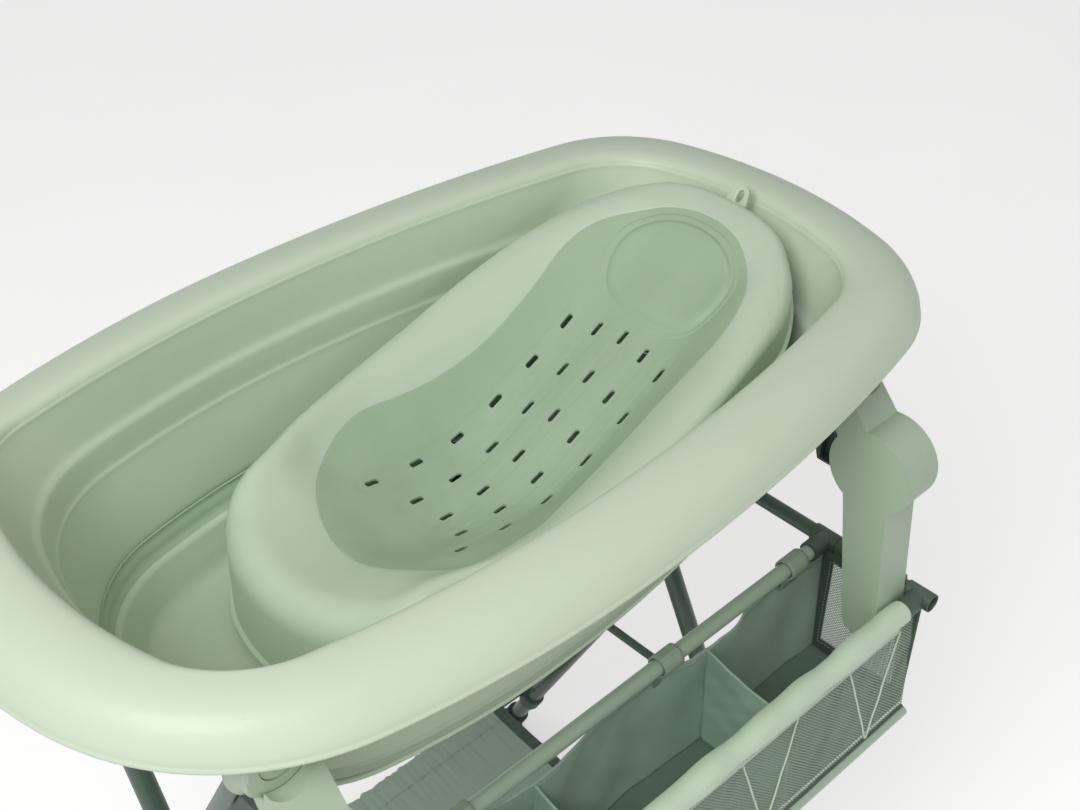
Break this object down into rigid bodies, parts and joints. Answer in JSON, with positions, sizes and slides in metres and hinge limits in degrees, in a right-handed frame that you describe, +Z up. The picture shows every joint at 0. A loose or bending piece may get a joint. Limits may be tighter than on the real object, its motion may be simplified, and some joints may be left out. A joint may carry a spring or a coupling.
{
  "type": "baby bathtub with stand",
  "caption": "Pale green moulded baby bathtub with a slotted bath support, on a folding crossed-leg stand with a fabric shelf and a side basket",
  "frame": {"origin": "centre of the overall box on the floor", "axes": "+X towards the head end of the tub, +Y away from the basket, +Z up from the floor"},
  "size_m": [0.93, 0.5942, 0.9503],
  "materials": {
    "tub_shell": "satin",
    "soft_band": "matte",
    "support_body": "satin",
    "support_inlay": "matte",
    "rubber": "matte",
    "dark_frame": "satin",
    "pale_rail": "satin",
    "pale_moulding": "satin",
    "dark_moulding": "matte",
    "metal": "brushed",
    "shelf_fabric": "woven",
    "basket_fabric": "woven",
    "basket_mesh": "woven",
    "webbing": "woven"
  },
  "bodies": {
    "frame_b": {"leg_b_head": "dark_frame", "leg_b_foot": "dark_frame", "hub_near_head": "pale_moulding", "hub_near_foot": "pale_moulding", "button_springs_near": "metal", "elbow_arm_head": "pale_moulding", "elbow_arm_foot": "pale_moulding", "arm_web_head": "dark_moulding", "arm_web_foot": "dark_moulding", "far_feet": "rubber", "pivot_bolts": "metal", "pivot_spacers": "metal", "shelf_rod_far": "dark_frame", "shelf_clips_far": "dark_moulding", "lock_brackets": "dark_moulding", "shelf_cloth": "shelf_fabric", "basket_tube_head": "dark_frame", "basket_tube_foot": "dark_frame", "tube_brackets": "dark_moulding", "arm_clips": "dark_moulding", "back_rail": "pale_rail", "front_rail": "pale_rail", "bottom_rail": "dark_frame", "rail_sockets": "dark_moulding", "basket_back": "basket_fabric", "basket_front": "basket_fabric", "basket_floor": "basket_fabric", "basket_end_head": "basket_mesh", "basket_end_foot": "basket_mesh", "basket_divider_head": "basket_fabric", "basket_divider_foot": "basket_fabric", "basket_loops": "webbing"},
    "frame_a": {"leg_a_head": "dark_frame", "leg_a_foot": "dark_frame", "hub_far_head": "pale_moulding", "hub_far_foot": "pale_moulding", "button_springs_far": "metal", "near_feet": "rubber", "shelf_rod_near": "dark_frame", "shelf_clips_near": "dark_moulding", "lock_collars": "dark_moulding"},
    "tub": {"tub_ring": "tub_shell", "tub_band": "soft_band", "tub_base": "tub_shell", "drain_seat": "rubber"},
    "drain_plug": {"drain_plug": "rubber"},
    "bath_support": {"support_shell": "support_body", "support_inlay": "support_inlay", "support_headrest": "support_inlay", "support_feet": "rubber"},
    "lock_rod_head": {"lock_rod_head": "dark_frame", "lock_hook_head": "dark_moulding"},
    "lock_rod_foot": {"lock_rod_foot": "dark_frame", "lock_hook_foot": "dark_moulding"},
    "button_near_head": {"button_near_head": "pale_moulding"},
    "button_near_foot": {"button_near_foot": "pale_moulding"},
    "button_far_head": {"button_far_head": "pale_moulding"},
    "button_far_foot": {"button_far_foot": "pale_moulding"}
  },
  "joints": [
    {"name": "stand_fold", "type": "hinge", "parent": "frame_b", "child": "frame_a", "pos_m": [-0.013, 0.00587, 0.532], "axis": [1, 0, 0], "range_deg": [0, 40], "deforming": ["shelf_cloth"]},
    {"name": "tub_lift", "type": "slide", "parent": "frame_b", "child": "tub", "axis": [0, 0, 1], "range_m": [0, 1]},
    {"name": "lock_rod_head_swing", "type": "hinge", "parent": "frame_b", "child": "lock_rod_head", "pos_m": [0.277, 0.07822, 0.39], "axis": [-1, 0, 0], "range_deg": [0, 48]},
    {"name": "lock_rod_foot_swing", "type": "hinge", "parent": "frame_b", "child": "lock_rod_foot", "pos_m": [-0.303, 0.07822, 0.39], "axis": [-1, 0, 0], "range_deg": [0, 48]},
    {"name": "support_lift", "type": "slide", "parent": "tub", "child": "bath_support", "axis": [0, 0, 1], "range_m": [0, 0.3]},
    {"name": "drain_plug_lift", "type": "slide", "parent": "tub", "child": "drain_plug", "axis": [0, 0, 1], "range_m": [0, 0.012]},
    {"name": "button_near_head_press", "type": "slide", "parent": "frame_b", "child": "button_near_head", "axis": [0, 1, 0], "range_m": [0, 0.004], "stiffness_N_per_m": 300, "springref_m": -0.002},
    {"name": "button_near_foot_press", "type": "slide", "parent": "frame_b", "child": "button_near_foot", "axis": [0, 1, 0], "range_m": [0, 0.004], "stiffness_N_per_m": 300, "springref_m": -0.002},
    {"name": "button_far_head_press", "type": "slide", "parent": "frame_a", "child": "button_far_head", "axis": [0, -1, 0], "range_m": [0, 0.004], "stiffness_N_per_m": 300, "springref_m": -0.002},
    {"name": "button_far_foot_press", "type": "slide", "parent": "frame_a", "child": "button_far_foot", "axis": [0, -1, 0], "range_m": [0, 0.004], "stiffness_N_per_m": 300, "springref_m": -0.002}
  ],
  "couplings": [
    {"joint": "tub_lift", "follows": "stand_fold", "m_per_rad": 1.4324},
    {"joint": "lock_rod_head_swing", "follows": "stand_fold", "ratio": 1.2},
    {"joint": "lock_rod_foot_swing", "follows": "stand_fold", "ratio": 1.2}
  ]
}
